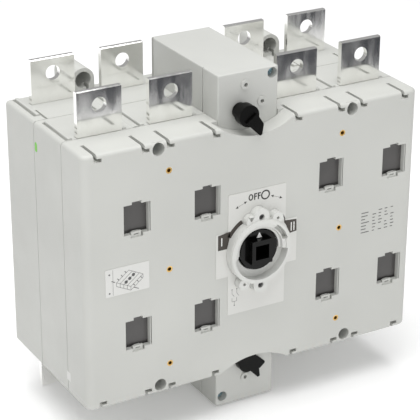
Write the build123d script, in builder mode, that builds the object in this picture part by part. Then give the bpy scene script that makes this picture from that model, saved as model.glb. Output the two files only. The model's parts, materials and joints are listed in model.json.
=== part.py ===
from build123d import *

import math
import os

# Four-pole manual transfer switch, I - OFF - II, front operated, panel mounted.
# Millimetres.  +Z is up, +X is to the right seen from the front and the front faces -Y.
# The origin is the centre of the four fixing holes, in the plane of the mounting panel.
# Depths are counted backwards from the front face of the front cover.

# ---------------------------------------------------------------- driving dimensions
POLE_PITCH = 65.0
INNER_POLE = 60.5  # the mechanism column stands between the two inner poles
POLE_CENTRES = (-INNER_POLE - POLE_PITCH, -INNER_POLE, INNER_POLE, INNER_POLE + POLE_PITCH)
WIDTH = 321.0
HEIGHT = 228.0
MOUNT_DEPTH = 170.0  # front face to mounting panel
COVER_BACK = 38.0  # seam between front cover and pole housings
MIDDLE_BACK = 90.0  # seam between pole housings and rear housing
REAR_BACK = 147.0  # back of the rear housing
WALL = 3.0
GAP = 0.3  # clearance between neighbouring pieces
HALF_W = WIDTH / 2
HALF_H = HEIGHT / 2

# terminals: flat plated bars with one fixing hole
BAR_WIDTH = 40.0
BAR_THICK = 5.0
BAR_HOLE_R = 6.5
BAR_TOP = 153.0
BAR_BOTTOM = -157.0
BAR_HOLE_INSET = 13.5
BEND_R = 6.0
FRONT_ROW = 38.3  # depth of the front face of source I bars
REAR_ROW = 125.0  # depth of the front face of source II bars
LOAD_ROW = 127.0  # depth of the front face of load terminals

# contact system
ROTOR_Z = 52.0
ROTOR_DEPTH = 72.0
ARM_LENGTH = 26.0
ARM_WIDTH = 12.0
ARM_THICK = 3.0
ARM_OFFSET = 4.3  # centre of each blade from the pole centre
KNIFE_THICK = 5.0
KNIFE_REACH = 12.7
KNIFE_HEIGHT = 12.0
SHAFT_SQUARE = 12.0
DRUM_R = 13.0
BLADE_HUB_R = 11.0
OPEN_ANGLE = 60.0  # the contact arms rest this far from closed

# rack and pinion drive
MODULE = 1.5
PRESSURE = math.radians(20)
DRIVE_TEETH = 16
CAM_TEETH = 24
BACKLASH = 0.35
TOOTH_PITCH = math.pi * MODULE
DRIVE_R = MODULE * DRIVE_TEETH / 2
CAM_GEAR_R = MODULE * CAM_TEETH / 2
ADDENDUM = MODULE
DEDENDUM = 1.25 * MODULE
RACK_RIGHT = 23.0
RACK_FRONT = 46.0
RACK_BACK = ROTOR_DEPTH - DRIVE_R - DEDENDUM
RACK_TOP = 136.5
RACK_BOTTOM = -131.0
TOP_CAM = (-9.0, 120.5)
BOTTOM_CAM = (-2.5, -112.5)

# mechanism column
COLUMN_HALF = 28.75
COLUMN_TOP = 153.0
COLUMN_BOTTOM = -155.0
PLATE_FRONT = 17.0
PLATE_BACK = 41.5
COLUMN_BACK = 131.0
ARC_R = 60.0
ARC_Z = 162.5
PLATE_SCREWS = ((23.0, 147.3), (-22.4, -146.3))
PLATE_STUDS = ((-2.8, 141.4), (13.1, 124.4), (0.3, -132.6))

# front cover features
CORNER_R = 3.5
SIDE_ROUND = 7.0  # rounding of the two upright front edges
WINDOW_SIZE = (23.5, 26.3)
WINDOW_OFFSET = 12.5
WINDOW_DEPTH = 4.8
PANE_THICK = 2.5
PANE_LAP = 1.0  # the pane reaches this far behind the window's edge
PANE_STEP = (1.3, 2.6)  # depth and height of the step along the bottom of a pane
JOINT_LINE = 0.9  # width of the joint line beside each window
LATCH_HALF = 4.3
LATCH_DEEP = 12.0
CLIP_HALF = 4.6
CLIP_NOTCH = 3.0
TIE_X = 92.7
TIE_Z = (107.9, -106.4)
TIE_HEAD_R = 5.5
TIE_HEAD_DEPTH = 24.0
TIE_R = 3.0
INSERT_X = 83.4
INSERT_Z = (88.0, 0.0, -88.0)
INSERT_R = 2.8
SLOT_LEFT = -24.7
SLOT_RIGHT = 17.8
SLOT_WIDTH = 3.0
SLOT_DEEP = 6.5
SLOT_FOOT = 7.0
SLOT_FOOT_HIGH = 3.0
SLOT_BACK = 24.0
GROOVE_DEEP = 2.0
GROOVE_HALF = 1.2
RAIL_HALF = 1.8
RAIL_RISE = 1.3  # the rails stand this far above the body

# fixing feet
FOOT_X = 93.0
FOOT_Z = 124.0
FOOT_R = 10.5
FOOT_BORE_R = 7.3
FOOT_HOLE_R = 4.5
FOOT_FRONT = 135.0
FOOT_FLOOR = 163.0

# bezel and hub
BEZEL_R = 29.5
BEZEL_OUT = 9.0
BEZEL_BORE_R = 19.2
BEZEL_SCREW_Z = 31.5
HUB_R = 18.0
SOCKET = 13.0
# start and sweep in degrees, inner and outer radius, depth
FUNNEL_CUTS = ((-174, 169, 18.0, 25.8, 8.4), (16, 40, 22.4, 26.4, 6.5))

parts = {}


def keep(name, builder):
    """Label a finished piece and remember it for export."""
    builder.part.label = name
    parts[name] = builder.part


def at_depth(depth):
    """Plane parallel to the front face, facing the viewer."""
    return Plane.XZ.offset(MOUNT_DEPTH - depth)


def row_y(depth):
    """Y of a depth behind the front face."""
    return depth - MOUNT_DEPTH


def block(x, depth, z, mode=Mode.ADD):
    """Box given by its (low, high) limits in X, depth and Z."""
    centre = (sum(x) / 2, row_y(sum(depth) / 2), sum(z) / 2)
    with Locations(centre):
        Box(x[1] - x[0], depth[1] - depth[0], z[1] - z[0], mode=mode)


def rod(radius, x, z, depth, mode=Mode.ADD):
    """Round bar or bore along Y between two depths."""
    with BuildSketch(at_depth(depth[0])) as section:
        with Locations((x, z)):
            Circle(radius)
    extrude(section.sketch, amount=depth[0] - depth[1], mode=mode)


def cross_rod(radius, depth, z, x, mode=Mode.ADD):
    """Round bar or bore along X."""
    with BuildSketch(Plane.YZ.offset(x[0])) as section:
        with Locations((row_y(depth), z)):
            Circle(radius)
    extrude(section.sketch, amount=x[1] - x[0], mode=mode)


def seam_groove(depth):
    """Shallow shadow line round the outside of the body at a seam."""
    with BuildSketch(at_depth(depth - 0.35)) as ring:
        Rectangle(WIDTH + 4, HEIGHT + 4)
        RectangleRounded(WIDTH - 1.0, HEIGHT - 1.0, 3.6, mode=Mode.SUBTRACT)
    extrude(ring.sketch, amount=-0.7, mode=Mode.SUBTRACT)


def barrier_slots(back):
    """L-shaped channels for phase barriers, beside every pole, top and bottom."""
    for pole in POLE_CENTRES:
        for side in (SLOT_LEFT, SLOT_RIGHT):
            low = pole + side
            for edge in (HALF_H, -HALF_H):
                inner = edge - math.copysign(SLOT_DEEP, edge)
                lip = inner + math.copysign(SLOT_FOOT_HIGH, edge)
                block((low, low + SLOT_WIDTH), (-1, back), sorted((inner, edge * 1.05)),
                      Mode.SUBTRACT)
                block((low, low + SLOT_FOOT), (-1, back), sorted((inner, lip)), Mode.SUBTRACT)


def barrier_grooves(offsets, front, back, rail):
    """Grooves that carry on the barrier channels, top and bottom, some with a rail beside."""
    for pole in POLE_CENTRES:
        for x in (pole + groove_x for groove_x in offsets):
            if COLUMN_HALF + 4 < abs(x) < HALF_W - 3:
                for edge in (HALF_H, -HALF_H):
                    deep = edge - math.copysign(GROOVE_DEEP, edge)
                    block((x - GROOVE_HALF, x + GROOVE_HALF), (front, back),
                          sorted((deep, edge * 1.05)), Mode.SUBTRACT)
                    if rail:
                        with BuildSketch(at_depth(front)) as section:
                            with Locations((x + GROOVE_HALF + RAIL_HALF, edge)):
                                RectangleRounded(2 * RAIL_HALF, 2 * RAIL_RISE, RAIL_RISE * 0.9)
                        extrude(section.sketch, amount=front - back)


def slot_ribs(front, back):
    """Thick pads inside the wall, which back the barrier channels."""
    for pole in POLE_CENTRES:
        for side in (SLOT_LEFT, SLOT_RIGHT):
            for edge in (HALF_H, -HALF_H):
                inner = edge - math.copysign(SLOT_DEEP + 2.0, edge)
                block((pole + side - 2, pole + side + SLOT_FOOT + 2), (front, back),
                      sorted((inner, edge - math.copysign(1, edge))))


# ---------------------------------------------------------------- front cover
with BuildPart() as front_cover:
    block((-HALF_W, HALF_W), (0, COVER_BACK), (-HALF_H, HALF_H))
    front_edges = front_cover.edges().group_by(Axis.Y)[0]
    fillet(front_edges.filter_by(Axis.Z), SIDE_ROUND)
    for face in (front_cover.faces().sort_by(Axis.Z)[-1], front_cover.faces().sort_by(Axis.Z)[0]):
        rim = face.edges().filter_by(lambda e: e.center().Y < row_y(COVER_BACK) - 0.1)
        fillet(rim, CORNER_R)
    with BuildSketch(at_depth(WALL)) as cavity:
        RectangleRounded(WIDTH - 2 * WALL, HEIGHT - 2 * WALL, 3)
    extrude(amount=WALL - COVER_BACK, mode=Mode.SUBTRACT)
    slot_ribs(WALL - 1, 30)
    for side in (-1, 1):
        block((side * TIE_X - 1.5, side * TIE_X + 1.5), (WALL - 1, COVER_BACK),
              (-HALF_H + 1, HALF_H - 1))
        for z in TIE_Z:
            rod(8.0, side * TIE_X, z, (WALL - 1, COVER_BACK))
    with BuildSketch(at_depth(0)) as outside:
        Rectangle(WIDTH + 40, HEIGHT + 40)
        RectangleRounded(WIDTH, HEIGHT, CORNER_R, mode=Mode.SUBTRACT)
    extrude(amount=-COVER_BACK, mode=Mode.SUBTRACT)
    for side in (-1, 1):
        for z in TIE_Z:
            rod(TIE_HEAD_R, side * TIE_X, z, (0, TIE_HEAD_DEPTH), Mode.SUBTRACT)
            rod(TIE_R + GAP, side * TIE_X, z, (0, COVER_BACK), Mode.SUBTRACT)
        for z in INSERT_Z:
            rod(5.0, side * INSERT_X, z, (WALL - 1, 12))
            rod(INSERT_R, side * INSERT_X, z, (0, 9), Mode.SUBTRACT)
    # window wells: a rebate for the pane, a joint line, a latch slot above and a clip below
    for pole in POLE_CENTRES:
        for z in (ROTOR_Z, -ROTOR_Z):
            x = pole + WINDOW_OFFSET
            w, h = WINDOW_SIZE
            left, right = x - w / 2, x + w / 2
            bottom, top = z - h / 2, z + h / 2
            pane_back = WINDOW_DEPTH + PANE_THICK
            block((left - 2.5, right + 2.5), (WALL - 1, pane_back), (bottom - 4.5, top + 4.5))
            block((left, right - 0.8), (0, pane_back), (bottom, top), Mode.SUBTRACT)
            block((left - PANE_LAP, right + PANE_LAP), (WINDOW_DEPTH, pane_back),
                  (bottom - PANE_LAP, top + PANE_LAP), Mode.SUBTRACT)
            block((right - 0.2, right - 0.2 + JOINT_LINE), (0, 4.0), (bottom, top),
                  Mode.SUBTRACT)
            block((x - LATCH_HALF, x + LATCH_HALF), (0, LATCH_DEEP), (top + 0.95, top + 2.4),
                  Mode.SUBTRACT)
            block((x - LATCH_HALF, x + LATCH_HALF), (0, WINDOW_DEPTH - 0.5), (top - 1, top + 1),
                  Mode.SUBTRACT)
            block((x - CLIP_HALF - 1, x + CLIP_HALF + 1), (0, WINDOW_DEPTH - 0.5),
                  (bottom - CLIP_NOTCH, bottom + 1), Mode.SUBTRACT)
            # the clip stands in its notch, with a slit and a hooked top that holds the pane
            block((x - CLIP_HALF, x + CLIP_HALF), (1.6, 3.4),
                  (bottom - CLIP_NOTCH - 0.5, bottom + 1.5))
            block((x - CLIP_HALF + 2, x + CLIP_HALF - 2), (2.8, WINDOW_DEPTH - 0.4),
                  (bottom + 0.4, bottom + 1.5))
            block((x - CLIP_HALF + 2.4, x + CLIP_HALF - 2.4), (1, 3.0),
                  (bottom - 1.2, bottom - 0.2), Mode.SUBTRACT)
    # scooped recesses, top and bottom, in front of the mechanism column
    for side in (-1, 1):
        with BuildSketch(at_depth(WALL - 1)) as liner:
            with Locations((0, side * ARC_Z)):
                Circle(ARC_R + WALL)
            Rectangle(WIDTH, HEIGHT - 2, mode=Mode.INTERSECT)
        extrude(amount=WALL - 1 - 20, mode=Mode.ADD)
        with BuildSketch(at_depth(0)) as scoop:
            with Locations((0, side * ARC_Z)):
                Circle(ARC_R)
        extrude(amount=-PLATE_FRONT, mode=Mode.SUBTRACT)
    # room for the mechanism front plate and the drive hub
    column = (-COLUMN_HALF - GAP, COLUMN_HALF + GAP)
    block(column, (PLATE_FRONT - GAP, COVER_BACK), (COLUMN_BOTTOM, COLUMN_TOP), Mode.SUBTRACT)
    rod(23.0, 0, 0, (0, 20), Mode.SUBTRACT)
    for z in (BEZEL_SCREW_Z, -BEZEL_SCREW_Z):
        rod(4.5, 0, z, (WALL - 1, 14))
        rod(1.6, 0, z, (0, 12), Mode.SUBTRACT)
    barrier_slots(SLOT_BACK)
    seam_groove(COVER_BACK)
keep("front_cover", front_cover)


# ---------------------------------------------------------------- pole housings
def pole_housing(side):
    """Open ring of the middle section, one for each pair of poles."""
    inner, outer = side * (COLUMN_HALF + GAP), side * HALF_W
    span = sorted((inner, outer))
    with BuildPart() as housing:
        with BuildSketch(at_depth(COVER_BACK)) as ring:
            RectangleRounded(WIDTH, HEIGHT, CORNER_R)
            with Locations((sum(span) / 2, 0)):
                Rectangle(span[1] - span[0], HEIGHT + 10, mode=Mode.INTERSECT)
        extrude(amount=COVER_BACK - MIDDLE_BACK)
        hollow = sorted((inner + side * WALL, outer - side * WALL))
        block(hollow, (COVER_BACK, MIDDLE_BACK), (-HALF_H + WALL, HALF_H - WALL), Mode.SUBTRACT)
        block((side * TIE_X - 1.5, side * TIE_X + 1.5), (COVER_BACK, MIDDLE_BACK),
              (-HALF_H + 1, HALF_H - 1))
        for z in TIE_Z:
            rod(7.0, side * TIE_X, z, (COVER_BACK, MIDDLE_BACK))
            block((side * TIE_X - 7, side * TIE_X + 7), (COVER_BACK, MIDDLE_BACK),
                  sorted((z, math.copysign(HALF_H - 1, z))))
            rod(TIE_R + GAP, side * TIE_X, z, (COVER_BACK, MIDDLE_BACK), Mode.SUBTRACT)
        for z in (ROTOR_Z, -ROTOR_Z):
            # the drums drop in from behind, through an open-ended slot
            for wall_x in (side * TIE_X, inner + side * WALL / 2):
                cross_rod(DRUM_R + 1.5, ROTOR_DEPTH, z, (wall_x - 3, wall_x + 3), Mode.SUBTRACT)
                block((wall_x - 3, wall_x + 3), (ROTOR_DEPTH, MIDDLE_BACK + 1),
                      (z - DRUM_R - 1.5, z + DRUM_R + 1.5), Mode.SUBTRACT)
            bearing = sorted((outer - side * 8, outer - side * (WALL - 1)))
            for rib in (-1, 1):
                low, high = sorted((z + rib * 11.3, z + rib * 14.3))
                block(bearing, (ROTOR_DEPTH - 12, MIDDLE_BACK), (low, high))
        # notches in the front edge, closed by the front cover, hold the source I bars
        for pole in POLE_CENTRES:
            if pole * side > 0:
                block((pole - BAR_WIDTH / 2 - GAP, pole + BAR_WIDTH / 2 + GAP),
                      (COVER_BACK - 1, FRONT_ROW + BAR_THICK + GAP),
                      (HALF_H - 2 * WALL, HALF_H + 5), Mode.SUBTRACT)
        seam_groove(COVER_BACK)
        seam_groove(MIDDLE_BACK)
        # the far half of the body is cut away after its rails have been made with the rest
        barrier_grooves((-29.0, 19.5), COVER_BACK + 1, MIDDLE_BACK - 6, True)
        far = sorted((inner, -side * (HALF_W + 5)))
        block(far, (COVER_BACK - 1, MIDDLE_BACK + 1), (-HALF_H - 5, HALF_H + 5), Mode.SUBTRACT)
    return housing


keep("pole_housing_left", pole_housing(-1))
keep("pole_housing_right", pole_housing(1))

# ---------------------------------------------------------------- rear housing
with BuildPart() as rear_housing:
    with BuildSketch(at_depth(MIDDLE_BACK)) as outline:
        RectangleRounded(WIDTH, HEIGHT, CORNER_R)
    extrude(amount=MIDDLE_BACK - REAR_BACK)
    fillet(rear_housing.faces().sort_by(Axis.Y)[-1].edges(), 2.5)
    with BuildSketch(at_depth(MIDDLE_BACK)) as cavity:
        RectangleRounded(WIDTH - 2 * WALL, HEIGHT - 2 * WALL, 3)
    extrude(amount=MIDDLE_BACK - REAR_BACK + WALL, mode=Mode.SUBTRACT)
    for side in (-1, 1):
        block((side * TIE_X - 1.5, side * TIE_X + 1.5), (MIDDLE_BACK, REAR_BACK - 1),
              (-HALF_H + 1, HALF_H - 1))
        for z in TIE_Z:
            rod(7.0, side * TIE_X, z, (MIDDLE_BACK, REAR_BACK - 1))
        flank = sorted((side * (COLUMN_HALF + GAP), side * (COLUMN_HALF + GAP + WALL)))
        block(flank, (MIDDLE_BACK, REAR_BACK - 1), (-HALF_H + 1, HALF_H - 1))
        # fixing feet: tubes above and below the body that stand on the panel
        for end in (-1, 1):
            for root_z, span in ((HALF_H - 4, (FOOT_FRONT, REAR_BACK)),
                                 (HALF_H + 1.5, (REAR_BACK - 1, MOUNT_DEPTH))):
                with BuildSketch(at_depth(span[0])) as foot:
                    with Locations((side * FOOT_X, end * FOOT_Z)):
                        Circle(FOOT_R)
                    with Locations((side * FOOT_X, end * (FOOT_Z + root_z) / 2)):
                        Rectangle(2 * FOOT_R, FOOT_Z - root_z)
                extrude(amount=span[0] - span[1])
            rod(FOOT_BORE_R, side * FOOT_X, end * FOOT_Z, (FOOT_FRONT - 1, FOOT_FLOOR),
                Mode.SUBTRACT)
            rod(FOOT_HOLE_R, side * FOOT_X, end * FOOT_Z, (FOOT_FRONT, MOUNT_DEPTH),
                Mode.SUBTRACT)
    for side in (-1, 1):
        for z in TIE_Z:
            rod(TIE_R + GAP, side * TIE_X, z, (MIDDLE_BACK, REAR_BACK), Mode.SUBTRACT)
            with BuildSketch(at_depth(REAR_BACK)) as nut_pocket:
                with Locations((side * TIE_X, z)):
                    RegularPolygon(5.8, 6)
            extrude(amount=6.0, mode=Mode.SUBTRACT)
    block((-COLUMN_HALF - GAP, COLUMN_HALF + GAP), (MIDDLE_BACK, COLUMN_BACK + GAP),
          (COLUMN_BOTTOM, COLUMN_TOP), Mode.SUBTRACT)
    for pole in POLE_CENTRES:
        bar = (pole - BAR_WIDTH / 2 - GAP, pole + BAR_WIDTH / 2 + GAP)
        block(bar, (REAR_ROW - GAP, REAR_ROW + BAR_THICK + GAP),
              (HALF_H - 2 * WALL, HALF_H + 5), Mode.SUBTRACT)
        block(bar, (LOAD_ROW - GAP, LOAD_ROW + BAR_THICK + GAP),
              (-HALF_H - 5, -HALF_H + 2 * WALL), Mode.SUBTRACT)
    barrier_grooves((-22.6, 22.0), MIDDLE_BACK, 113.0, False)
    barrier_grooves((-28.5,), 100.0, 144.0, True)
    seam_groove(MIDDLE_BACK)
keep("rear_housing", rear_housing)

# ---------------------------------------------------------------- mechanism column
with BuildPart() as mechanism_case:
    block((-COLUMN_HALF, COLUMN_HALF), (PLATE_BACK, COLUMN_BACK), (COLUMN_BOTTOM, COLUMN_TOP))
    fillet(mechanism_case.edges().filter_by(Axis.Y), 1.2)
    block((-COLUMN_HALF + WALL, COLUMN_HALF - WALL), (PLATE_BACK, COLUMN_BACK - WALL),
          (COLUMN_BOTTOM + WALL, COLUMN_TOP - WALL), Mode.SUBTRACT)
    for z in (ROTOR_Z, -ROTOR_Z):
        cross_rod(11.0, ROTOR_DEPTH, z, (-COLUMN_HALF - 1, COLUMN_HALF + 1), Mode.SUBTRACT)
    for side in (-1, 1):
        # narrow shadow groove down both flanks behind the front plate, and one at the back
        for depth in (PLATE_BACK, COLUMN_BACK - 2.0):
            low, high = sorted((side * (COLUMN_HALF - 0.9), side * (COLUMN_HALF + 1)))
            block((low, high), (depth - 1, depth + 1.2), (COLUMN_BOTTOM, COLUMN_TOP),
                  Mode.SUBTRACT)
        # ledges that carry the bearing bridge
        ledge = sorted((side * (COLUMN_HALF - WALL), side * (COLUMN_HALF - WALL - 4)))
        block(ledge, (66.3, 72), (-9, 9))
keep("mechanism_case", mechanism_case)

with BuildPart() as mechanism_front_plate:
    block((-COLUMN_HALF, COLUMN_HALF), (PLATE_FRONT, PLATE_BACK), (COLUMN_BOTTOM, COLUMN_TOP))
    fillet(mechanism_front_plate.edges().filter_by(Axis.Z).group_by(Axis.Y)[0], 1.5)
    fillet(mechanism_front_plate.edges().filter_by(Axis.X).group_by(Axis.Y)[0], 1.2)
    block((-COLUMN_HALF + WALL, COLUMN_HALF - WALL), (PLATE_FRONT + WALL, PLATE_BACK),
          (COLUMN_BOTTOM + WALL, COLUMN_TOP - WALL), Mode.SUBTRACT)
    # sunk screws in two opposite corners, studs for the interlock, and bearings
    for x, z in PLATE_SCREWS:
        side = math.copysign(1, x)
        low, high = sorted((x - side * 6.5, side * (COLUMN_HALF - 1)))
        bottom, top = sorted((z - math.copysign(7, z), math.copysign(151.5, z)))
        block((low, high), (PLATE_FRONT + 1, 32), (bottom, top))
        rod(4.6, x, z, (PLATE_FRONT, 27), Mode.SUBTRACT)
        rod(2.1, x, z, (PLATE_FRONT, 32), Mode.SUBTRACT)
    for x, z in PLATE_STUDS:
        rod(4.2, x, z, (PLATE_FRONT - 1.2, 26))
        rod(1.7, x, z, (PLATE_FRONT - 1.2, 24), Mode.SUBTRACT)
    for x, z in (TOP_CAM, BOTTOM_CAM):
        rod(8.0, x, z, (PLATE_FRONT + 1, 36))
        rod(4.05, x, z, (PLATE_FRONT - 2, 36), Mode.SUBTRACT)
    rod(9.5, 0, 0, (PLATE_FRONT + 1, 30))
    rod(8.0, 0, 0, (PLATE_FRONT, 30), Mode.SUBTRACT)
keep("mechanism_front_plate", mechanism_front_plate)

# ---------------------------------------------------------------- inspection windows
for row, z in (("upper", ROTOR_Z), ("lower", -ROTOR_Z)):
    with BuildPart() as panes:
        w, h = WINDOW_SIZE
        for pole in POLE_CENTRES:
            x = pole + WINDOW_OFFSET
            lap = PANE_LAP - 0.1
            step_deep, step_high = PANE_STEP
            block((x - w / 2 - lap, x + w / 2 + lap), (WINDOW_DEPTH, WINDOW_DEPTH + PANE_THICK),
                  (z - h / 2 - lap, z + h / 2 + lap))
            block((x - w / 2 - 2, x + w / 2 + 2), (WINDOW_DEPTH - 1, WINDOW_DEPTH + step_deep),
                  (z - h / 2 - 2, z - h / 2 + step_high), Mode.SUBTRACT)
    keep(f"{row}_windows", panes)


# ---------------------------------------------------------------- conductors
def bar_edges(builder, radius=0.8):
    """Break the long outer corners of a flat bar's end."""
    ends = builder.faces().sort_by(Axis.Z)
    chosen = ends[-1].edges().filter_by(Axis.X)
    chamfer(chosen, radius)


def knife(pole, root, tip, z):
    """Fixed contact blade that stands on a bar, edge on to the rotor."""
    block((pole - KNIFE_THICK / 2, pole + KNIFE_THICK / 2), sorted((root, tip)),
          (z - KNIFE_HEIGHT / 2, z + KNIFE_HEIGHT / 2))


def bar_hole(pole, z, depth):
    rod(BAR_HOLE_R, pole, z, (depth - 1, depth + BAR_THICK + 1), Mode.SUBTRACT)


FRONT_BUS = (FRONT_ROW, FRONT_ROW + BAR_THICK)
REAR_BUS = (105.0, 105.0 + BAR_THICK)
FRONT_KNIFE = FRONT_BUS[1] + KNIFE_REACH
REAR_KNIFE = 2 * ROTOR_DEPTH - FRONT_KNIFE
LINK_Z = 90.0  # the load bar crosses to the front this far below the middle

for number, pole in enumerate(POLE_CENTRES, 1):
    across = (pole - BAR_WIDTH / 2, pole + BAR_WIDTH / 2)
    with BuildPart() as source_1:
        block(across, FRONT_BUS, (ROTOR_Z - 8, BAR_TOP))
        bar_edges(source_1)
        knife(pole, FRONT_BUS[1], FRONT_KNIFE, ROTOR_Z)
        bar_hole(pole, BAR_TOP - BAR_HOLE_INSET, FRONT_ROW)
    keep(f"source_1_bar_{number}", source_1)

    with BuildPart() as source_2:
        block(across, (REAR_ROW, REAR_ROW + BAR_THICK), (-ROTOR_Z - 8, BAR_TOP))
        bar_edges(source_2)
        knife(pole, REAR_ROW, REAR_KNIFE, -ROTOR_Z)
        bar_hole(pole, BAR_TOP - BAR_HOLE_INSET, REAR_ROW)
    keep(f"source_2_bar_{number}", source_2)

    with BuildPart() as load:
        # one strip, bent four times: rear terminal, front riser, crossing, rear riser
        half = BAR_THICK / 2
        front, rear = FRONT_ROW + half, REAR_BUS[0] + half
        terminal = LOAD_ROW + half
        with BuildSketch(Plane.YZ.offset(across[0])) as strip:
            with BuildLine():
                route = FilletPolyline(
                    (row_y(terminal), BAR_BOTTOM),
                    (row_y(terminal), -LINK_Z),
                    (row_y(front), -LINK_Z),
                    (row_y(front), 0),
                    (row_y(rear), 0),
                    (row_y(rear), ROTOR_Z + 8),
                    radius=BEND_R,
                )
                offset(route, amount=half, side=Side.BOTH, closed=True)
            make_face()
        extrude(amount=BAR_WIDTH)
        # the ends are cut square
        block(across, (REAR_BUS[0] - 1, REAR_BUS[1] + 1), (ROTOR_Z + 8, ROTOR_Z + 16),
              Mode.SUBTRACT)
        block(across, (LOAD_ROW - 1, LOAD_ROW + BAR_THICK + 1), (BAR_BOTTOM - 8, BAR_BOTTOM),
              Mode.SUBTRACT)
        chamfer(load.faces().sort_by(Axis.Z)[0].edges().filter_by(Axis.X), 0.8)
        knife(pole, FRONT_BUS[1], FRONT_KNIFE, -ROTOR_Z)
        knife(pole, REAR_BUS[0], REAR_KNIFE, ROTOR_Z)
        bar_hole(pole, BAR_BOTTOM + BAR_HOLE_INSET, LOAD_ROW)
    keep(f"load_bar_{number}", load)


# ---------------------------------------------------------------- contact rotors
def blade_outline(tilt, z):
    """Double-ended contact blade seen from the side, turned away from closed."""
    with Locations((row_y(ROTOR_DEPTH), z)):
        Circle(BLADE_HUB_R)
        Rectangle(2 * ARM_LENGTH, ARM_WIDTH, rotation=tilt)


# the front ends of the upper arms hang down at rest, those of the lower arms point up
ROTORS = (("upper", ROTOR_Z, OPEN_ANGLE), ("lower", -ROTOR_Z, -OPEN_ANGLE))
DRUM_SPANS = {"left": (-150.5, -37.0), "right": (37.0, 150.5)}

for row, rotor_z, tilt in ROTORS:
    for number, pole in enumerate(POLE_CENTRES, 1):
        with BuildPart() as contact:
            for side in (-1, 1):
                low = pole + side * ARM_OFFSET - ARM_THICK / 2
                with BuildSketch(Plane.YZ.offset(low)) as blade:
                    blade_outline(tilt, rotor_z)
                    with Locations((row_y(ROTOR_DEPTH), rotor_z)):
                        Rectangle(SHAFT_SQUARE, SHAFT_SQUARE, rotation=tilt, mode=Mode.SUBTRACT)
                extrude(amount=ARM_THICK)
        keep(f"{row}_contact_{number}", contact)

    for wing, span in DRUM_SPANS.items():
        with BuildPart() as drum:
            cross_rod(DRUM_R, ROTOR_DEPTH, rotor_z, span)
            with BuildSketch(Plane.YZ.offset(span[0])) as bore:
                with Locations((row_y(ROTOR_DEPTH), rotor_z)):
                    Rectangle(SHAFT_SQUARE, SHAFT_SQUARE, rotation=tilt)
            extrude(amount=span[1] - span[0], mode=Mode.SUBTRACT)
            for pole in POLE_CENTRES:
                if span[0] < pole < span[1]:
                    for side in (-1, 1):
                        low = pole + side * ARM_OFFSET - ARM_THICK / 2
                        with BuildSketch(Plane.YZ.offset(low)) as seat:
                            blade_outline(tilt, rotor_z)
                        extrude(amount=ARM_THICK, mode=Mode.SUBTRACT)
        keep(f"{row}_drum_{wing}", drum)

    with BuildPart() as shaft:
        with BuildSketch(Plane.YZ.offset(-151.0)) as square:
            with Locations((row_y(ROTOR_DEPTH), rotor_z)):
                Rectangle(SHAFT_SQUARE, SHAFT_SQUARE, rotation=tilt)
        extrude(amount=302.0)
        cross_rod(SHAFT_SQUARE / 2, ROTOR_DEPTH, rotor_z, (-157.0, 157.0))
    keep(f"{row}_contact_shaft", shaft)

with BuildPart() as shaft_bearings:
    for z in (ROTOR_Z, -ROTOR_Z):
        for side in (-1, 1):
            seat = sorted((side * 152.0, side * (HALF_W - WALL)))
            block(seat, (ROTOR_DEPTH - 10, MIDDLE_BACK), (z - 11, z + 11))
            cross_rod(SHAFT_SQUARE / 2 + 0.06, ROTOR_DEPTH, z, seat, Mode.SUBTRACT)
keep("shaft_bearings", shaft_bearings)


# ---------------------------------------------------------------- rack and pinions
def tooth_half_angle(radius, teeth):
    """Half the angle that an involute tooth fills at a radius."""
    pitch_r = MODULE * teeth / 2
    base_r = pitch_r * math.cos(PRESSURE)
    roll = math.acos(min(1.0, base_r / radius))
    flank = (math.tan(PRESSURE) - PRESSURE) - (math.tan(roll) - roll)
    return math.pi / (2 * teeth) + flank - BACKLASH / (2 * pitch_r)


def gear_points(teeth, centre, start):
    """Outline of a spur gear; the first tooth points along the start angle."""
    pitch_r = MODULE * teeth / 2
    root_r = pitch_r - DEDENDUM
    base_r = max(pitch_r * math.cos(PRESSURE), root_r + 0.2)
    flank_radii = [base_r, (base_r + pitch_r) / 2, pitch_r, pitch_r + ADDENDUM * 0.55,
                   pitch_r + ADDENDUM]
    points = []
    for tooth in range(teeth):
        middle = start + 2 * math.pi * tooth / teeth
        rising = [(root_r, -tooth_half_angle(base_r, teeth))]
        rising += [(r, -tooth_half_angle(r, teeth)) for r in flank_radii]
        falling = [(r, -a) for r, a in reversed(rising)]
        for r, a in rising + falling:
            points.append((centre[0] + r * math.cos(middle + a),
                           centre[1] + r * math.sin(middle + a)))
    return points


def rack_tooth(pitch_line, centre, outward, along_first):
    """One straight-sided rack tooth; outward is the direction that it points in."""
    half = TOOTH_PITCH / 4 - BACKLASH / 2
    slope = math.tan(PRESSURE)
    root, tip = DEDENDUM + 0.2, ADDENDUM
    corners = []
    for height, sign in ((-root, -1), (tip, -1), (tip, 1), (-root, 1)):
        across = centre + sign * (half - slope * height)
        level = pitch_line + outward * height
        corners.append((level, across) if along_first else (across, level))
    return Polygon(*corners, align=None)


def zone_centres(middle, reach):
    """Tooth centres either side of a space that sits at the pinion's height."""
    count = math.ceil(reach / TOOTH_PITCH)
    return [middle + (i + 0.5) * TOOTH_PITCH for i in range(-count, count)]


TRAVEL = DRIVE_R * math.radians(OPEN_ANGLE)
REACH = TRAVEL + 4.0

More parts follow.
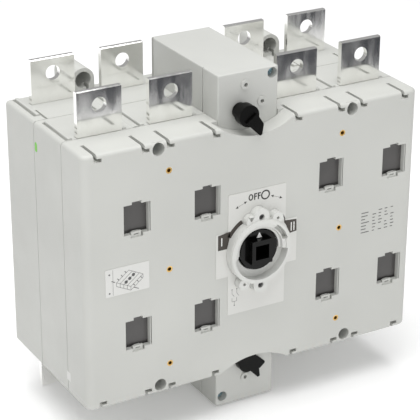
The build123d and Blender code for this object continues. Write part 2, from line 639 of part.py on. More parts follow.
with BuildPart() as rack:
    steps = (
        (TOP_CAM[0] + CAM_GEAR_R, 98.0, RACK_TOP),
        (DRIVE_R, -86.0, 98.0),
        (BOTTOM_CAM[0] + CAM_GEAR_R, RACK_BOTTOM, -86.0),
    )
    for pitch_x, low, high in steps:
        block((pitch_x + DEDENDUM, RACK_RIGHT), (RACK_FRONT, RACK_BACK), (low, high))
    zones = (
        (DRIVE_R, zone_centres(0, REACH)),
        (steps[0][0], zone_centres(TOP_CAM[1], REACH - 3)),
        (steps[2][0], zone_centres(BOTTOM_CAM[1], REACH - 3)),
    )
    for pitch_x, centres in zones:
        with BuildSketch(at_depth(RACK_FRONT)) as side_teeth:
            for z in centres:
                rack_tooth(pitch_x, z, -1, True)
        extrude(amount=RACK_FRONT - RACK_BACK)
    for middle in (ROTOR_Z, -ROTOR_Z):
        with BuildSketch(Plane.YZ.offset(DRIVE_R + DEDENDUM)) as back_teeth:
            for z in zone_centres(middle, REACH):
                rack_tooth(row_y(ROTOR_DEPTH - DRIVE_R), z, 1, True)
        extrude(amount=RACK_RIGHT - DRIVE_R - DEDENDUM)
keep("drive_rack", rack)

for row, rotor_z, tilt in ROTORS:
    with BuildPart() as pinion:
        with BuildSketch(Plane.YZ.offset(15.0)) as teeth:
            points = gear_points(DRIVE_TEETH, (row_y(ROTOR_DEPTH), rotor_z), math.pi)
            Polygon(*points, align=None)
            with Locations((row_y(ROTOR_DEPTH), rotor_z)):
                Rectangle(SHAFT_SQUARE, SHAFT_SQUARE, rotation=tilt, mode=Mode.SUBTRACT)
        extrude(amount=8.0)
    keep(f"{row}_shaft_pinion", pinion)

DRIVE_SHAFT_R = 6.0
with BuildPart() as drive_pinion:
    with BuildSketch(at_depth(47.0)) as teeth:
        Polygon(*gear_points(DRIVE_TEETH, (0, 0), 0.0), align=None)
        Circle(DRIVE_SHAFT_R, mode=Mode.SUBTRACT)
    extrude(amount=-10.0)
keep("drive_pinion", drive_pinion)

with BuildPart() as drive_shaft:
    rod(DRIVE_SHAFT_R, 0, 0, (6.0, 69.0))
keep("drive_shaft", drive_shaft)

with BuildPart() as drive_bush:
    rod(8.0, 0, 0, (PLATE_FRONT, 32.0))
    rod(11.0, 0, 0, (PLATE_FRONT - 2.0, PLATE_FRONT))
    rod(DRIVE_SHAFT_R + 0.05, 0, 0, (PLATE_FRONT - 2.0, 32.0), Mode.SUBTRACT)
keep("drive_bush", drive_bush)

with BuildPart() as bearing_bridge:
    block((-COLUMN_HALF + WALL, COLUMN_HALF - WALL), (63.0, 66.3), (-9, 9))
    rod(DRIVE_SHAFT_R + 0.05, 0, 0, (63.0, 66.3), Mode.SUBTRACT)
keep("bearing_bridge", bearing_bridge)

with BuildPart() as rack_guide:
    block((RACK_RIGHT + GAP, COLUMN_HALF - WALL), (43.0, 62.5), (-140, 140))
    block((19.5, RACK_RIGHT + GAP + 0.5), (43.0, RACK_FRONT - GAP), (-140, 140))
keep("rack_guide", rack_guide)


# ---------------------------------------------------------------- interlock cams
def cam_gear(centre):
    """Toothed sector that the rack turns, on the back of a cam spindle."""
    half_wedge = math.radians(62)
    reach = 2 * CAM_GEAR_R
    with BuildPart() as gear:
        with BuildSketch(at_depth(47.5)) as sector:
            Polygon(*gear_points(CAM_TEETH, centre, 0.0), align=None)
            wedge = [(centre[0] - 1, centre[1])]
            for angle in (-half_wedge, 0, half_wedge):
                wedge.append((centre[0] + reach * math.cos(angle),
                              centre[1] + reach * math.sin(angle)))
            Polygon(*wedge, align=None, mode=Mode.INTERSECT)
            with Locations(centre):
                Circle(8.0)
                Circle(4.0, mode=Mode.SUBTRACT)
        extrude(amount=-9.0)
    return gear


def cam(centre, disc, finger, outline, wing):
    """Black cam with a pointed finger, on a spindle that passes through the plate."""
    aim = math.radians(-53.6)
    along = (math.cos(aim), math.sin(aim))
    across = (-along[1], along[0])

    def place(forward, sideways):
        return (centre[0] + forward * along[0] + sideways * across[0],
                centre[1] + forward * along[1] + sideways * across[1])

    with BuildPart() as piece:
        rod(9.4, *centre, disc)
        rod(7.0, *centre, (disc[0], PLATE_FRONT - 1.5))
        rod(4.0, *centre, (disc[0] + 1, 58.0))
        with BuildSketch(at_depth(finger[0])) as pointer:
            Polygon(*(place(*corner) for corner in outline), align=None)
            fillet(pointer.vertices(), 0.7)
        extrude(amount=finger[0] - finger[1])
        if wing:
            with BuildSketch(at_depth(disc[0])) as shoulder:
                Polygon(*(place(*corner) for corner in wing), align=None)
                fillet(shoulder.vertices(), 1.8)
            extrude(amount=disc[0] - disc[1] + 0.5)
    return piece


# outlines in (forward, sideways) from the spindle, along the finger
TOP_FINGER = ((2, -6), (20, -3.2), (20.5, -1.2), (14, 5.5), (2, 6))
BOTTOM_FINGER = ((2, -4.5), (19.5, -2.4), (20.3, -0.2), (14, 3.4), (2, 5))
BOTTOM_WING = ((-2, 1), (10, 1), (14, 4), (13.5, 12.0), (-1, 9.0))
keep("top_cam", cam(TOP_CAM, (-0.5, 8.0), (-2.6, -0.4), TOP_FINGER, None))
keep("bottom_cam", cam(BOTTOM_CAM, (6.0, 13.0), (6.0, 9.5), BOTTOM_FINGER, BOTTOM_WING))
keep("top_cam_gear", cam_gear(TOP_CAM))
keep("bottom_cam_gear", cam_gear(BOTTOM_CAM))

# ---------------------------------------------------------------- bezel and drive hub
# screw and pin lobes round the bezel: X, Z and radius
LOBES = (
    (0, BEZEL_SCREW_Z, 7.5),
    (16.0, 27.4, 5.2),
    (0, -BEZEL_SCREW_Z, 7.0),
    (-16.0, -27.4, 5.2),
    (-8.6, 28.2, 5.6),
)

with BuildPart() as bezel:
    with BuildSketch(at_depth(0)) as base:
        Circle(BEZEL_R)
        for x, z, r in LOBES:
            with Locations((x, z)):
                Circle(r)
    extrude(amount=BEZEL_OUT - 1.0)
    with BuildSketch(at_depth(-BEZEL_OUT + 1.0)) as crown:
        Circle(BEZEL_R - 0.6)
    extrude(amount=1.0)
    # funnel from the rim down to the hub, in two steps
    with BuildSketch(Plane.YZ) as funnel:
        lip = row_y(-BEZEL_OUT)
        Polygon((lip - 1, 0), (lip - 1, 25.2), (lip + 1.2, 24.2), (lip + 2.2, 21.6),
                (lip + 4.2, 20.8), (lip + 4.8, BEZEL_BORE_R), (row_y(1), BEZEL_BORE_R),
                (row_y(1), 0), align=None)
    revolve(axis=Axis((0, 0, 0), (0, 1, 0)), mode=Mode.SUBTRACT)
    # the lower half opens to a straight wall, and the upper right has a slot
    for start, sweep, low, high, deep in FUNNEL_CUTS:
        with BuildSketch(at_depth(-BEZEL_OUT)) as cut:
            with BuildLine():
                outer = CenterArc((0, 0), high, start, sweep)
                inner = CenterArc((0, 0), low, start, sweep)
                Line(outer @ 0, inner @ 0)
                Line(outer @ 1, inner @ 1)
            make_face()
        extrude(amount=-deep, mode=Mode.SUBTRACT)
    for z in (BEZEL_SCREW_Z, -BEZEL_SCREW_Z):
        rod(1.9, 0, z, (-BEZEL_OUT, 1), Mode.SUBTRACT)
        rod(2.7, 0, z, (-BEZEL_OUT, -BEZEL_OUT + 4.4), Mode.SUBTRACT)
    for x, z, r in (LOBES[1], LOBES[3]):
        rod(1.4, x, z, (-BEZEL_OUT, -BEZEL_OUT + 4), Mode.SUBTRACT)
    # triangular keying recesses beside the screw lobes
    for x, z, flip in ((-9.8, 30.0, 1), (9.6, 29.6, 1), (-9.0, -29.8, -1)):
        with BuildSketch(at_depth(-BEZEL_OUT)) as key:
            Polygon((x - 2.6, z + flip * 3.0), (x + 2.6, z + flip * 3.0), (x, z - flip * 1.8),
                    align=None)
        extrude(amount=-4.0, mode=Mode.SUBTRACT)
keep("bezel", bezel)

with BuildPart() as bezel_screws:
    for z in (BEZEL_SCREW_Z, -BEZEL_SCREW_Z):
        head = -BEZEL_OUT + 2.6
        rod(2.5, 0, z, (head, head + 1.8))
        rod(1.5, 0, z, (head + 1.8, 10))
        block((-0.4, 0.4), (head - 0.1, head + 0.8), (z - 1.7, z + 1.7), Mode.SUBTRACT)
        block((-1.7, 1.7), (head - 0.1, head + 0.8), (z - 0.4, z + 0.4), Mode.SUBTRACT)
keep("bezel_screws", bezel_screws)

with BuildPart() as drive_hub:
    rod(HUB_R, 0, 0, (-4.0, 2.0))
    rod(9.5, 0, 0, (1.0, 14.5))
    block((-10, 10), (-BEZEL_OUT - 1.0, -3.5), (-11, 11))
    fillet(drive_hub.edges().filter_by(Axis.Y).filter_by(lambda e: e.center().Y < row_y(-4)), 0.8)
    block((-SOCKET / 2, SOCKET / 2), (-BEZEL_OUT - 2.0, 5.5), (-SOCKET / 2, SOCKET / 2),
          Mode.SUBTRACT)
    rod(DRIVE_SHAFT_R, 0, 0, (6.0, 15.0), Mode.SUBTRACT)
keep("drive_hub", drive_hub)

# white arrowhead that shows where the hub points
with BuildPart() as pointer:
    with BuildSketch(at_depth(-4.6)) as arrow:
        Polygon((-2.4, 11.5), (2.4, 11.5), (0, 16.4), align=None)
    extrude(amount=-0.6)
keep("position_pointer", pointer)

# ---------------------------------------------------------------- plates and small hardware
with BuildPart() as dial_plate:
    with BuildSketch(at_depth(-0.5)) as face:
        with Locations((0, -1.5)):
            RectangleRounded(56.0, 111.0, 1.0)
        Rectangle(79.0, 40.5)
        Circle(23.2, mode=Mode.SUBTRACT)
        Circle(BEZEL_R + 0.2, mode=Mode.SUBTRACT)
        for x, z, r in LOBES:
            with Locations((x, z)):
                Circle(r + 0.2, mode=Mode.SUBTRACT)
    extrude(amount=-0.5)
keep("dial_plate", dial_plate)

with BuildPart() as diagram_plate:
    with BuildSketch(at_depth(-0.4)) as face:
        with Locations((-122.5, 0.2)):
            RectangleRounded(40.0, 24.5, 0.8)
    extrude(amount=-0.4)
keep("diagram_plate", diagram_plate)

with BuildPart() as threaded_inserts:
    for side in (-1, 1):
        for z in INSERT_Z:
            rod(INSERT_R, side * INSERT_X, z, (0.2, 9.0))
            rod(1.65, side * INSERT_X, z, (0.0, 9.0), Mode.SUBTRACT)
keep("threaded_inserts", threaded_inserts)

with BuildPart() as tie_bolts:
    for side in (-1, 1):
        for z in TIE_Z:
            rod(TIE_R, side * TIE_X, z, (TIE_HEAD_DEPTH - 1, 146.0))
            rod(5.0, side * TIE_X, z, (TIE_HEAD_DEPTH - 6.0, TIE_HEAD_DEPTH))
            with BuildSketch(at_depth(TIE_HEAD_DEPTH - 6.0)) as socket:
                with Locations((side * TIE_X, z)):
                    RegularPolygon(2.9, 6)
            extrude(amount=-3.0, mode=Mode.SUBTRACT)
keep("tie_bolts", tie_bolts)

with BuildPart() as tie_nuts:
    for side in (-1, 1):
        for z in TIE_Z:
            with BuildSketch(at_depth(REAR_BACK - 0.8)) as nut:
                with Locations((side * TIE_X, z)):
                    RegularPolygon(5.6, 6)
                    Circle(TIE_R, mode=Mode.SUBTRACT)
            extrude(amount=5.0)
keep("tie_nuts", tie_nuts)

with BuildPart() as plate_screws:
    for x, z in PLATE_SCREWS:
        rod(3.9, x, z, (23.2, 27.0))
        # the tips stop short of the rack, which passes behind them
        rod(2.0, x, z, (27.0, 44.0))
        block((x - 2.6, x + 2.6), (23.0, 24.6), (z - 0.5, z + 0.5), Mode.SUBTRACT)
        block((x - 0.5, x + 0.5), (23.0, 24.6), (z - 2.6, z + 2.6), Mode.SUBTRACT)
keep("plate_screws", plate_screws)

# ---------------------------------------------------------------- arc chambers
PLATE_ANGLES = (34, 46, 58)
for row, rotor_z, direction in (("upper", ROTOR_Z, 1), ("lower", -ROTOR_Z, -1)):
    with BuildPart() as chamber:
        for pole in POLE_CENTRES:
            for turn in (0, 180):
                for angle in PLATE_ANGLES:
                    # steel plates fan out round the path of the arm's tip
                    swing = math.radians(180 + turn + direction * angle)
                    radial = (0, math.cos(swing), math.sin(swing))
                    plane = Plane(origin=(pole, row_y(ROTOR_DEPTH), rotor_z),
                                  x_dir=(1, 0, 0),
                                  z_dir=(0, -radial[2], radial[1]))
                    lift = 1 if plane.y_dir.dot(Vector(*radial)) > 0 else -1
                    with BuildSketch(plane) as steel:
                        with Locations((0, lift * 24.0)):
                            Rectangle(36.0, 10.0)
                        with Locations((0, lift * 22.0)):
                            Rectangle(15.0, 10.6, mode=Mode.SUBTRACT)
                    extrude(amount=0.6, both=True)
    keep(f"{row}_arc_plates", chamber)

os.makedirs("parts", exist_ok=True)
for name, piece in parts.items():
    export_step(piece, f"parts/{name}.step")
print(len(parts), "parts")
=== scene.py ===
"""Looks for the manual transfer switch: materials, prints, lights and camera."""

import json
import math

import bmesh
import bpy
from mathutils import Euler, Matrix, Vector


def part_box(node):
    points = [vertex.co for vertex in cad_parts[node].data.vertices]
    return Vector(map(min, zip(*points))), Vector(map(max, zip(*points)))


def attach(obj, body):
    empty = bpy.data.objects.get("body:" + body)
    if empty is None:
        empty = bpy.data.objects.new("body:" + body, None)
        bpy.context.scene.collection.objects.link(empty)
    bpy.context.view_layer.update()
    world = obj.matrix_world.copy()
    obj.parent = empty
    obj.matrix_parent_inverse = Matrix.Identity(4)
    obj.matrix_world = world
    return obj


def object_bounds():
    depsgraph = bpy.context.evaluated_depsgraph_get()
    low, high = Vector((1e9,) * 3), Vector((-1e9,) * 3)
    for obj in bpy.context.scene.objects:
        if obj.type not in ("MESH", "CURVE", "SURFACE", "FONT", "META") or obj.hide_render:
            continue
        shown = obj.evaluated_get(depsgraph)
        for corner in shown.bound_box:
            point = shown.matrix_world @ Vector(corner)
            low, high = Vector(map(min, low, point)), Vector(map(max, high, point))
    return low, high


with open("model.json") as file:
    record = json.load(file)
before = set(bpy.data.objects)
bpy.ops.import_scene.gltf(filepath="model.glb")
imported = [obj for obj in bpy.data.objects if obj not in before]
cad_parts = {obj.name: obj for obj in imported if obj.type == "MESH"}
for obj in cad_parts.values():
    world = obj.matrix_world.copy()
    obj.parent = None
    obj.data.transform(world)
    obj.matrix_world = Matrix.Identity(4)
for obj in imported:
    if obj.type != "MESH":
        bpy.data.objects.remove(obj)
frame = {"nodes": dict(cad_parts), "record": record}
cad_box = [list(corner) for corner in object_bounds()]
nodes = frame["nodes"]
scene = bpy.context.scene

# the fitted viewpoint: front left, from above, with a long lens
LENS_MM = 149.97
SENSOR_MM = 36.0
CAMERA_PLACE = (-0.6984, -1.3066, 0.6335)
CAMERA_YAW = math.radians(29.88)
CAMERA_PITCH = math.radians(-24.18)
CAMERA_ROLL = math.radians(0.25)

# sockets of the colour Mix node
MIX_A, MIX_B, MIX_RESULT = 6, 7, 2


# ---------------------------------------------------------------- camera
def add_camera():
    """Camera at the fitted viewpoint."""
    data = bpy.data.cameras.new("camera")
    data.sensor_width = SENSOR_MM
    data.lens = LENS_MM
    data.clip_start = 0.05
    data.clip_end = 60.0
    camera = bpy.data.objects.new("camera", data)
    scene.collection.objects.link(camera)
    turn = Euler((math.pi / 2 + CAMERA_PITCH, 0.0, -CAMERA_YAW), "XYZ").to_matrix().to_4x4()
    camera.matrix_world = (
        Matrix.Translation(CAMERA_PLACE) @ turn @ Matrix.Rotation(CAMERA_ROLL, 4, "Z")
    )
    scene.camera = camera


# ---------------------------------------------------------------- node material helpers
class Surface:
    """A Principled material with small helpers for procedural detail."""

    def __init__(self, name, color, roughness=0.5, metallic=0.0, specular=0.5):
        self.material = bpy.data.materials.new(name)
        self.material.use_nodes = True
        self.tree = self.material.node_tree
        self.shader = self.tree.nodes["Principled BSDF"]
        self.shader.inputs["Base Color"].default_value = (*color, 1.0)
        self.shader.inputs["Roughness"].default_value = roughness
        self.shader.inputs["Metallic"].default_value = metallic
        self.shader.inputs["Specular IOR Level"].default_value = specular
        self.place = self.tree.nodes.new("ShaderNodeTexCoord").outputs["Object"]

    def noise(self, scale, detail=3.0, stretch=None, roughness=0.5):
        """Noise over the object; stretch squeezes it along the axes."""
        node = self.tree.nodes.new("ShaderNodeTexNoise")
        node.inputs["Scale"].default_value = scale
        node.inputs["Detail"].default_value = detail
        node.inputs["Roughness"].default_value = roughness
        place = self.place
        if stretch:
            mapping = self.tree.nodes.new("ShaderNodeMapping")
            mapping.inputs["Scale"].default_value = stretch
            self.tree.links.new(place, mapping.inputs["Vector"])
            place = mapping.outputs["Vector"]
        self.tree.links.new(place, node.inputs["Vector"])
        return node.outputs["Fac"]

    def remap(self, value, low, high, from_low=0.3, from_high=0.7):
        """Stretch a value over a new range."""
        node = self.tree.nodes.new("ShaderNodeMapRange")
        node.inputs["From Min"].default_value = from_low
        node.inputs["From Max"].default_value = from_high
        node.inputs["To Min"].default_value = low
        node.inputs["To Max"].default_value = high
        self.tree.links.new(value, node.inputs["Value"])
        return node.outputs["Result"]

    def tint(self, value, dark, light):
        """Colour that runs between two shades with a value."""
        node = self.tree.nodes.new("ShaderNodeMix")
        node.data_type = "RGBA"
        node.inputs[MIX_A].default_value = (*dark, 1.0)
        node.inputs[MIX_B].default_value = (*light, 1.0)
        self.tree.links.new(value, node.inputs[0])
        self.tree.links.new(node.outputs[MIX_RESULT], self.shader.inputs["Base Color"])

    def drive_roughness(self, value, low, high):
        """Roughness that runs between two limits with a value."""
        self.tree.links.new(self.remap(value, low, high), self.shader.inputs["Roughness"])

    def bump(self, value, strength, distance):
        """Relief from a value, without changing the mesh."""
        node = self.tree.nodes.new("ShaderNodeBump")
        node.inputs["Strength"].default_value = strength
        node.inputs["Distance"].default_value = distance
        self.tree.links.new(value, node.inputs["Height"])
        self.tree.links.new(node.outputs["Normal"], self.shader.inputs["Normal"])


def shade(color, factor):
    """Colour made darker or lighter."""
    return tuple(min(1.0, c * factor) for c in color)


def moulded(name, color, roughness, grain_scale=900.0, grain=0.12, drift=0.04, specular=0.5):
    """Moulded plastic: fine spark-eroded grain and a slow drift in shade."""
    surface = Surface(name, color, roughness, specular=specular)
    surface.tint(surface.remap(surface.noise(9.0, 2.0), 0.0, 1.0),
                 shade(color, 1 - drift), shade(color, 1 + drift))
    surface.drive_roughness(surface.noise(60.0, 4.0), roughness - 0.05, roughness + 0.06)
    surface.bump(surface.noise(grain_scale, 2.0), grain, 0.0002)
    return surface.material


def plated(name, color, roughness, mottle=0.06):
    """Tin or silver plate on copper bar: faint rolling lines and cloudy haze."""
    surface = Surface(name, color, roughness, metallic=1.0)
    haze = surface.noise(45.0, 5.0, roughness=0.65)
    surface.tint(surface.remap(haze, 0.0, 1.0), shade(color, 1 - mottle), shade(color, 1 + mottle))
    surface.drive_roughness(surface.noise(120.0, 4.0, (1.0, 1.0, 0.25)), roughness * 0.6,
                            roughness * 1.7)
    surface.bump(surface.noise(260.0, 4.0, (1.0, 1.0, 0.12)), 0.08, 0.0002)
    return surface.material


def machined(name, color, roughness):
    """Turned or zinc-plated metal with fine tool marks."""
    surface = Surface(name, color, roughness, metallic=1.0)
    surface.tint(surface.remap(surface.noise(220.0, 4.0), 0.0, 1.0), shade(color, 0.85),
                 shade(color, 1.12))
    surface.drive_roughness(surface.noise(400.0, 3.0), roughness * 0.8, roughness * 1.3)
    surface.bump(surface.noise(1500.0, 2.0, (1.0, 0.15, 1.0)), 0.1, 0.0001)
    return surface.material


def printed(name, color, roughness=0.5):
    """Screen-printed ink with slightly uneven cover."""
    surface = Surface(name, color, roughness)
    surface.tint(surface.remap(surface.noise(1400.0, 3.0), 0.0, 1.0), shade(color, 0.8),
                 shade(color, 1.25))
    return surface.material


HOUSING = moulded("housing_grey", (0.525, 0.53, 0.503), 0.46)
COLUMN = moulded("column_grey", (0.53, 0.535, 0.51), 0.42)
BEZEL = moulded("bezel_ivory", (0.62, 0.625, 0.60), 0.34, grain=0.06)
WINDOW = moulded("smoked_pane", (0.070, 0.067, 0.065), 0.34, 1200.0, 0.05, 0.12)
BLACK = moulded("black_moulding", (0.0025, 0.0025, 0.0023), 0.32, 1100.0, 0.08, 0.2, specular=0.13)
HUB = moulded("hub_black", (0.002, 0.002, 0.0019), 0.17, 700.0, 0.03, 0.2, specular=0.2)
DRUM = moulded("drum_brown", (0.20, 0.065, 0.035), 0.45, drift=0.1)
ACETAL = moulded("bearing_acetal", (0.78, 0.77, 0.72), 0.4)
PLATE = moulded("plate_white", (0.62, 0.62, 0.595), 0.45, 1500.0, 0.04, 0.015)
LABEL = moulded("label_white", (0.645, 0.645, 0.625), 0.40, 1500.0, 0.04, 0.015)
SILVER = plated("silver_plate", (0.96, 0.955, 0.93), 0.11)
CONTACT = plated("contact_plate", (0.80, 0.76, 0.72), 0.2)
STEEL = machined("zinc_steel", (0.55, 0.55, 0.54), 0.32)
BLUE_ZINC = machined("blue_zinc", (0.42, 0.56, 0.62), 0.25)
BRASS = machined("brass", (0.70, 0.45, 0.15), 0.28)
INK = printed("ink_black", (0.035, 0.033, 0.030))
INK_GREY = printed("ink_grey", (0.11, 0.11, 0.11))
DARK_STEEL = machined("dark_steel", (0.14, 0.14, 0.14), 0.35)
INK_BROWN = printed("ink_dial", (0.050, 0.042, 0.035))
INK_WHITE = printed("ink_white", (0.80, 0.80, 0.78))
POINTER_WHITE = printed("pointer_white", (0.85, 0.85, 0.84), 0.4)
GREEN_DOT = printed("green_dot", (0.16, 0.52, 0.05), 0.45)

FINISHES = {
    "housing": HOUSING,
    "window": WINDOW,
    "plated_copper": SILVER,
    "black_plastic": BLACK,
    "drum_plastic": DRUM,
    "steel": STEEL,
    "bearing_plastic": ACETAL,
    "zinc_screw": BLUE_ZINC,
    "brass": BRASS,
    "plate_white": PLATE,
}
SPECIAL = {
    "bezel": BEZEL,
    "bezel_screws": DARK_STEEL,
    "drive_hub": HUB,
    "mechanism_case": COLUMN,
    "mechanism_front_plate": COLUMN,
    "position_pointer": POINTER_WHITE,
    "diagram_plate": LABEL,
}
for number in range(1, 5):
    SPECIAL[f"upper_contact_{number}"] = CONTACT
    SPECIAL[f"lower_contact_{number}"] = CONTACT


def finish_cad_nodes():
    """Every carried-over CAD node gets its detailed material."""
    for entry in frame["record"]["subparts"]:
        node = nodes[entry["node"]]
        material = SPECIAL.get(entry["node"], FINISHES[entry["material_slot"]])
        if node.data.materials:
            for index in range(len(node.data.materials)):
                node.data.materials[index] = material
        else:
            node.data.materials.append(material)


# ---------------------------------------------------------------- mesh helpers
def add_piece(name, mesh, material):
    """Turn a finished mesh into a piece that rides on the casing."""
    mesh.materials.append(material)
    piece = bpy.data.objects.new(name, mesh)
    scene.collection.objects.link(piece)
    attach(piece, "casing")


class Print:
    """Collects flat shapes in the X-Z plane and gives them a thin body of ink."""

    def __init__(self, y, thick=0.00004):
        self.mesh = bmesh.new()
        self.y = y
        self.thick = thick

    def polygon(self, points):
        """Points in metres as (x, z)."""
        front = [self.mesh.verts.new((x, self.y - self.thick, z)) for x, z in points]
        back = [self.mesh.verts.new((x, self.y, z)) for x, z in points]
        self.mesh.faces.new(front)
        self.mesh.faces.new(list(reversed(back)))
        for i in range(len(points)):
            j = (i + 1) % len(points)
            self.mesh.faces.new((front[j], front[i], back[i], back[j]))

    def line(self, start, end, width):
        """Straight stroke between two points."""
        a, b = Vector(start), Vector(end)
        side = (b - a).orthogonal().normalized() * width / 2
        self.polygon([a + side, b + side, b - side, a - side])

    def arc(self, centre, inner, outer, start, end, steps=24):
        """Part of a ring; angles in degrees from +X towards +Z."""
        for i in range(steps):
            a = math.radians(start + (end - start) * i / steps)
            b = math.radians(start + (end - start) * (i + 1) / steps)
            self.polygon([
                (centre[0] + r * math.cos(t), centre[1] + r * math.sin(t))
                for r, t in ((inner, a), (outer, a), (outer, b), (inner, b))
            ])

    def oval(self, centre, radii, stroke, steps=28):
        """Upright ring, such as a capital O."""
        for i in range(steps):
            a, b = (2 * math.pi * k / steps for k in (i, i + 1))
            self.polygon([
                (centre[0] + (radii[0] - cut) * math.cos(t),
                 centre[1] + (radii[1] - cut) * math.sin(t))
                for cut, t in ((stroke, a), (0, a), (0, b), (stroke, b))
            ])

    def dot(self, centre, radius, sides=14):
        """Filled round spot."""
        self.polygon([
            (centre[0] + radius * math.cos(2 * math.pi * i / sides),
             centre[1] + radius * math.sin(2 * math.pi * i / sides))
            for i in range(sides)
        ])

    def arrowhead(self, tip, direction, size):
        """Small solid triangle; direction in degrees."""
        t = math.radians(direction)
        along = Vector((math.cos(t), math.sin(t)))
        side = Vector((-along.y, along.x))
        tip = Vector(tip)
        self.polygon([tip, tip - along * size + side * size * 0.45,
                      tip - along * size - side * size * 0.45])

    def make(self, name, material):
        """Turn everything drawn so far into one piece."""
        bmesh.ops.recalc_face_normals(self.mesh, faces=self.mesh.faces)
        mesh = bpy.data.meshes.new(name)
        self.mesh.to_mesh(mesh)
        self.mesh.free()
        add_piece(name, mesh, material)


# ---------------------------------------------------------------- dial print
def print_dial():
    """OFF, O, I and II, with the arcs and arrows between them."""
    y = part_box("dial_plate")[0].y
    dark = Print(y)
    # boxes behind I and II, joined to the bezel by arcs
    dark.polygon([(-0.0378, 0.0058), (-0.0378, 0.0195), (-0.0262, 0.0212), (-0.0262, 0.0165),
                  (-0.0292, 0.0058)])
    dark.arc((0, 0), 0.0290, 0.0333, 118, 150, 26)
    dark.polygon([(0.0327, 0.0067), (0.0394, 0.0075), (0.0391, 0.0185), (0.0268, 0.0196),
                  (0.0268, 0.0178), (0.0288, 0.0150), (0.0304, 0.0112)])
    dark.arc((0.0172, 0.0190), 0.0097, 0.0107, -4, 74, 24)
    dark.make("dial_blocks", INK_BROWN)

    # the ring for the off position, and two double arrows
    strokes = Print(y)
    strokes.arc((0.0077, 0.0476), 0.0031, 0.0044, 0, 360, 40)
    arrow_line, arrow_size = 0.00022, 0.0026
    arrows = (
        ((-0.0212, 0.0408), (-0.0102, 0.0452)),
        ((0.0132, 0.0456), (0.0243, 0.0412)),
    )
    for tail, head in arrows:
        strokes.line(tail, head, arrow_line)
        aim = math.degrees(math.atan2(head[1] - tail[1], head[0] - tail[0]))
        strokes.arrowhead(head, aim, arrow_size)
        strokes.arrowhead(tail, aim + 180, arrow_size)
    strokes.make("dial_strokes", INK)

    # the word OFF, in plain condensed capitals
    letters = Print(y)
    height, stroke, bottom = 0.0060, 0.00115, 0.0450
    letter_o_x, letter_f_lefts = -0.0065, (-0.0034, 0.0002)
    top_reach, middle_reach = 0.0030, 0.0026
    letters.oval((letter_o_x, bottom + height / 2), (0.0023, height / 2), stroke)
    for left in letter_f_lefts:
        letters.line((left + stroke / 2, bottom), (left + stroke / 2, bottom + height), stroke)
        bars = ((bottom + height - stroke / 2, top_reach), (bottom + height * 0.52, middle_reach))
        for z, reach in bars:
            letters.line((left, z), (left + reach, z), stroke)
    letters.make("dial_off", INK)

    # one white stroke for I and two for II
    marks = Print(y - 0.00005)
    stroke_wide = 0.0009
    for x, low, high in ((-0.0347, 0.0095, 0.0170), (0.0335, 0.0085, 0.0165),
                         (0.0362, 0.0085, 0.0165)):
        marks.polygon([(x, low), (x + stroke_wide, low), (x + stroke_wide, high), (x, high)])
    marks.make("dial_marks", INK_WHITE)

    # small contact diagram, lower left: two open switches side by side
    diagram = Print(y)
    left_pole, right_pole, common = -0.0238, -0.0192, -0.0215
    line_wide = 0.00030
    for x in (left_pole, right_pole):
        diagram.line((x, -0.0340), (x, -0.0375), line_wide)
        diagram.line((x, -0.0375), (x + 0.0022, -0.0405), line_wide)
        diagram.line((x, -0.0415), (x, -0.0450), line_wide)
        diagram.dot((x, -0.0336), 0.00055)
    diagram.line((left_pole, -0.0450), (right_pole, -0.0450), line_wide)
    diagram.line((common, -0.0450), (common, -0.0482), line_wide)
    diagram.dot((common, -0.0488), 0.0006)
    diagram.make("dial_diagram", INK_GREY)


# ---------------------------------------------------------------- left plate print
def print_diagram_plate():
    """Plain isometric outline of the switch and its divider."""
    low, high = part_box("diagram_plate")
    y = low.y
    ink = Print(y)
    width = 0.00034
    divider = low.x + 0.0068
    ink.line((divider, low.z + 0.0008), (divider, high.z - 0.0008), 0.00028)
    for z in (low.z + 0.0032, high.z - 0.0045):
        ink.dot((low.x + 0.0036, z), 0.0008)
    # an isometric block: depth lines run up right, height lines run down right
    origin = Vector((divider + 0.0032, (low.z + high.z) / 2 - 0.0006))
    right = Vector((0.0130, -0.0064))
    back = Vector((0.0112, 0.0088))
    down = Vector((0.0, -0.0034))
    corners = [origin, origin + right, origin + right + back, origin + back]
    for a, b in zip(corners, corners[1:] + corners[:1]):
        ink.line(a, b, width)
    for a in corners[:3]:
        ink.line(a, a + down, width)
    ink.line(corners[0] + down, corners[1] + down, width)
    ink.line(corners[1] + down, corners[2] + down, width)
    for share in (0.25, 0.5, 0.75):
        ink.line(corners[0] + right * share, corners[0] + right * share + back, width)
        ink.line(corners[0] + right * share + down, corners[0] + right * share, width)
    # screw spots on top, and a short terminal at each side of them
    terminal = Vector((-0.0014, 0.0016))
    for share in (0.2, 0.5, 0.8):
        left_edge, right_edge = corners[0] + back * share, corners[1] + back * share
        ink.dot(corners[0] + right * 0.5 + back * share, 0.0015)
        ink.line(left_edge, left_edge + terminal, width * 2)
        ink.line(right_edge, right_edge - terminal, width * 2)
    ink.line(corners[1] + right * 0.2, corners[1] + right * 0.55, width * 2)
    ink.line(corners[0] - right * 0.35, corners[0] - right * 0.1, width * 2)
    ink.make("diagram_print", INK_GREY)


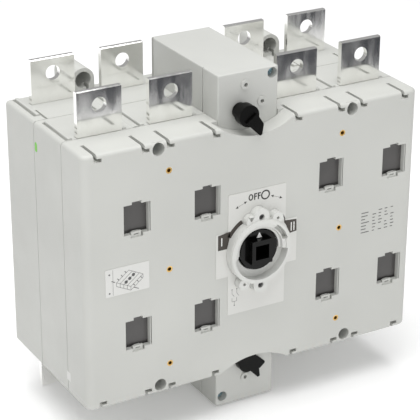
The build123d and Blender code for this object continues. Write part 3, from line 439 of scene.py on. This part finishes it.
def print_rating_rules():
    """Wordless ruled block where the real switch carries its data."""
    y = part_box("front_cover")[0].y
    ink = Print(y)
    left, top, row_pitch, rule_high = 0.1065, 0.0080, 0.0031, 0.00085
    caption_long, entries_from = 0.0085, 0.0118
    entry_long, entry_pitch = 0.0038, 0.0064
    for row in range(7):
        z = top - row_pitch * row
        # a ragged column of captions, then four columns of short entries with gaps
        caption = caption_long * (0.72 + 0.28 * math.sin(2.3 * row + 0.6))
        ink.line((left, z), (left + caption, z), rule_high)
        for column in range(4):
            x = left + entries_from + entry_pitch * column
            entry = entry_long * (0.8 + 0.2 * math.sin(1.9 * row + 1.7 * column))
            if (row + 2 * column) % 7:
                ink.line((x, z), (x + entry, z), rule_high)
    ink.make("rating_rules", INK_GREY)


# ---------------------------------------------------------------- small stickers
def side_patch(name, centre, half_y, half_z, radius, material):
    """Thin paper or paint patch with rounded corners on the left wall."""
    thick = 0.00008
    corner_steps = 4
    outline = []
    for corner, (toward_y, toward_z) in enumerate(((1, 1), (-1, 1), (-1, -1), (1, -1))):
        for step in range(corner_steps + 1):
            t = math.radians(90 * corner + 90 * step / corner_steps)
            outline.append((toward_y * (half_y - radius) + radius * math.cos(t),
                            toward_z * (half_z - radius) + radius * math.sin(t)))
    mesh = bmesh.new()
    back, front = (
        [mesh.verts.new((centre[0] - lift, centre[1] + a, centre[2] + b)) for a, b in outline]
        for lift in (0.0, thick)
    )
    mesh.faces.new(front)
    mesh.faces.new(list(reversed(back)))
    for i in range(len(outline)):
        j = (i + 1) % len(outline)
        mesh.faces.new((back[i], back[j], front[j], front[i]))
    bmesh.ops.recalc_face_normals(mesh, faces=mesh.faces)
    data = bpy.data.meshes.new(name)
    mesh.to_mesh(data)
    mesh.free()
    add_piece(name, data, material)


# ---------------------------------------------------------------- stage
LIGHT_AIM = Vector((0, -0.1, 0))
WHITE = (1.0, 1.0, 1.0, 1.0)


def add_area(name, place, size, power):
    """White rectangular light that faces the switch."""
    data = bpy.data.lights.new(name, "AREA")
    data.shape = "RECTANGLE"
    data.size, data.size_y = size
    data.energy = power
    light = bpy.data.objects.new(name, data)
    light.location = place
    light.rotation_euler = (LIGHT_AIM - Vector(place)).to_track_quat("-Z", "Y").to_euler()
    scene.collection.objects.link(light)


def add_stage():
    """Pale floor, soft overhead and side light, and a dark flag that metal reflects."""
    world = bpy.data.worlds.new("studio")
    world.use_nodes = True
    world.node_tree.nodes["Background"].inputs["Color"].default_value = WHITE
    world.node_tree.nodes["Background"].inputs["Strength"].default_value = 0.37
    scene.world = world

    mesh = bpy.data.meshes.new("floor")
    reach = 30.0
    level = cad_box[0][2] - 0.0002
    corners = [(-reach, -reach, level), (reach, -reach, level), (reach, reach, level),
               (-reach, reach, level)]
    mesh.from_pydata(corners, [], [(0, 1, 2, 3)])
    floor = bpy.data.objects.new("floor", mesh)
    surface = Surface("floor_white", (0.93, 0.93, 0.93), 0.6)
    surface.shader.inputs["Emission Color"].default_value = WHITE
    surface.shader.inputs["Emission Strength"].default_value = 0.12
    mesh.materials.append(surface.material)
    scene.collection.objects.link(floor)

    # black card in front of the switch, seen only in reflections: its near edge sets where
    # the dark band on the blades starts
    card = bpy.data.meshes.new("flag")
    outline = ((-0.2, -0.672), (0.19, -0.672), (0.20, -0.635), (3.2, -0.635), (3.2, -3.2),
               (-0.2, -3.2))
    card_z = -0.10
    card.from_pydata([(x, y, card_z) for x, y in outline], [], [tuple(range(len(outline)))])
    flag = bpy.data.objects.new("flag", card)
    card.materials.append(Surface("flag_dark", (0.015, 0.016, 0.022), 0.9).material)
    flag.visible_camera = False
    flag.visible_diffuse = False
    flag.visible_shadow = False
    flag.visible_transmission = False
    scene.collection.objects.link(flag)

    add_area("top_light", (-0.3, -0.2, 2.4), (2.4, 2.4), 70.0)
    add_area("front_light", (-0.6, -3.2, 1.2), (2.6, 1.8), 26.0)
    add_area("left_light", (-2.6, -0.9, 2.0), (1.8, 1.6), 6.0)


scene.view_settings.view_transform = "Standard"
add_camera()
finish_cad_nodes()
print_dial()
print_diagram_plate()
print_rating_rules()
side_patch("inspection_dot", (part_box("rear_housing")[0].x, -0.0838, 0.0929),
           0.0022, 0.0042, 0.0021, GREEN_DOT)
side_patch("plain_sticker", (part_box("front_cover")[0].x, -0.1335, -0.0973),
           0.0035, 0.0040, 0.0005, LABEL)
add_stage()
